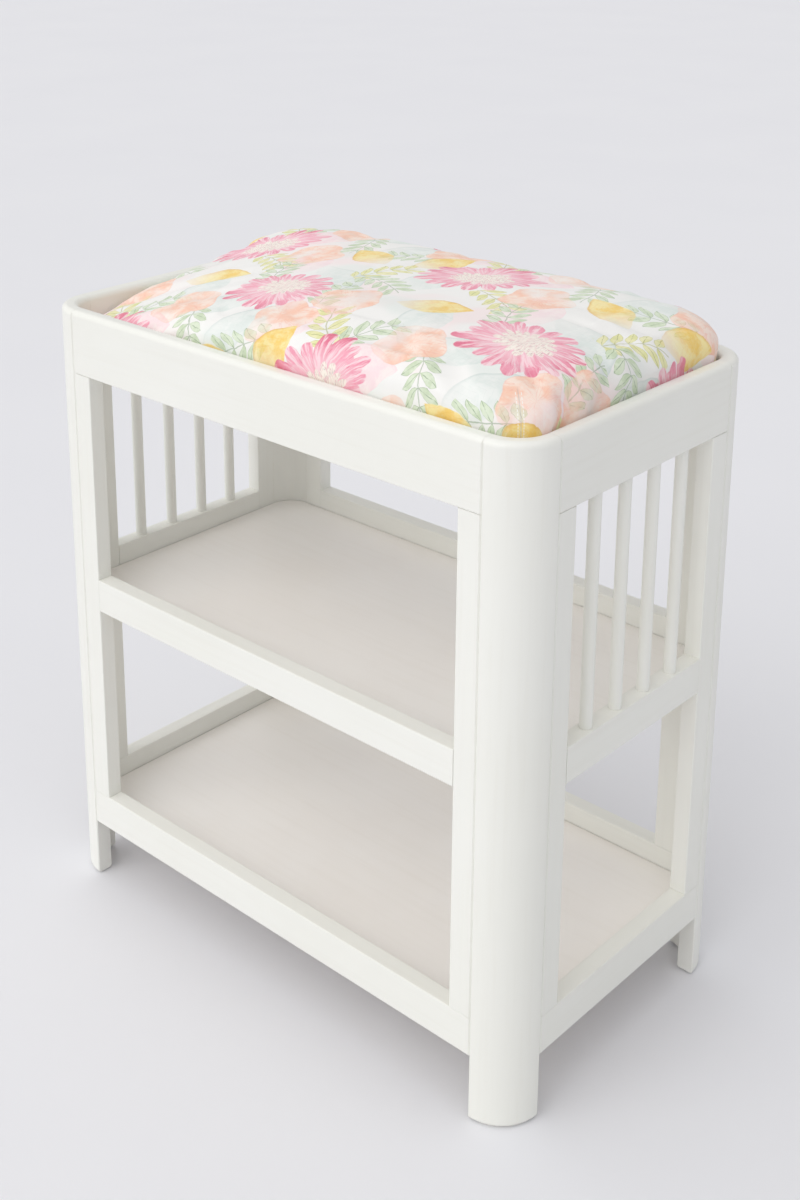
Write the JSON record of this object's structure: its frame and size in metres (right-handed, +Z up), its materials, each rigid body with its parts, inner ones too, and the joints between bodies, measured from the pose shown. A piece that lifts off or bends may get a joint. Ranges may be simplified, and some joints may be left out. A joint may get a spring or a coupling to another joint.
{
  "type": "changing table",
  "caption": "Baby changing table with rounded corner legs, a sunken top tray holding a lift-out padded mat, and two open shelves between slatted ends.",
  "frame": {"origin": "on the floor under the middle of the table", "axes": "+X along the table's length to the right, +Y to the rear so that the front faces -Y, +Z up"},
  "size_m": [0.85, 0.48, 0.958],
  "materials": {
    "painted_wood": "satin warm white paint",
    "painted_board": "satin warm white paint",
    "batten_wood": "white primed",
    "dowel_wood": "bare beech",
    "screw_steel": "zinc plated",
    "glide_plastic": "moulded",
    "foam": "cut foam",
    "printed_cotton": "plain weave cotton with a watercolour flower print"
  },
  "bodies": {
    "frame": {"leg_rear_right": "painted_wood", "leg_rear_left": "painted_wood", "leg_front_left": "painted_wood", "leg_front_right": "painted_wood", "apron_front": "painted_wood", "apron_right": "painted_wood", "apron_rear": "painted_wood", "apron_left": "painted_wood", "rail_mid_front": "painted_wood", "rail_mid_right": "painted_wood", "rail_mid_rear": "painted_wood", "rail_mid_left": "painted_wood", "rail_bottom_front": "painted_wood", "rail_bottom_right": "painted_wood", "rail_bottom_rear": "painted_wood", "rail_bottom_left": "painted_wood", "stile_front_a": "painted_wood", "stile_front_b": "painted_wood", "stile_right_a": "painted_wood", "stile_right_b": "painted_wood", "stile_rear_a": "painted_wood", "stile_rear_b": "painted_wood", "stile_left_a": "painted_wood", "stile_left_b": "painted_wood", "slat_right_1": "painted_wood", "slat_right_2": "painted_wood", "slat_right_3": "painted_wood", "slat_right_4": "painted_wood", "slat_left_1": "painted_wood", "slat_left_2": "painted_wood", "slat_left_3": "painted_wood", "slat_left_4": "painted_wood", "tray_floor": "painted_board", "shelf_mid": "painted_board", "shelf_bottom": "painted_board", "batten_tray_front": "batten_wood", "batten_tray_right": "batten_wood", "batten_tray_rear": "batten_wood", "batten_tray_left": "batten_wood", "batten_mid_front": "batten_wood", "batten_mid_right": "batten_wood", "batten_mid_rear": "batten_wood", "batten_mid_left": "batten_wood", "batten_bottom_front": "batten_wood", "batten_bottom_right": "batten_wood", "batten_bottom_rear": "batten_wood", "batten_bottom_left": "batten_wood", "dowels_leg_joints": "dowel_wood", "dowels_stile_joints": "dowel_wood", "batten_screws": "screw_steel", "glide_rear_right": "glide_plastic", "glide_rear_left": "glide_plastic", "glide_front_left": "glide_plastic", "glide_front_right": "glide_plastic"},
    "mat": {"mat_core": "foam", "mat_cover": "printed_cotton"}
  },
  "joints": [
    {"name": "mat_lift", "type": "slide", "parent": "frame", "child": "mat", "axis": [0, 0, 1], "range_m": [0, 0.15]}
  ]
}
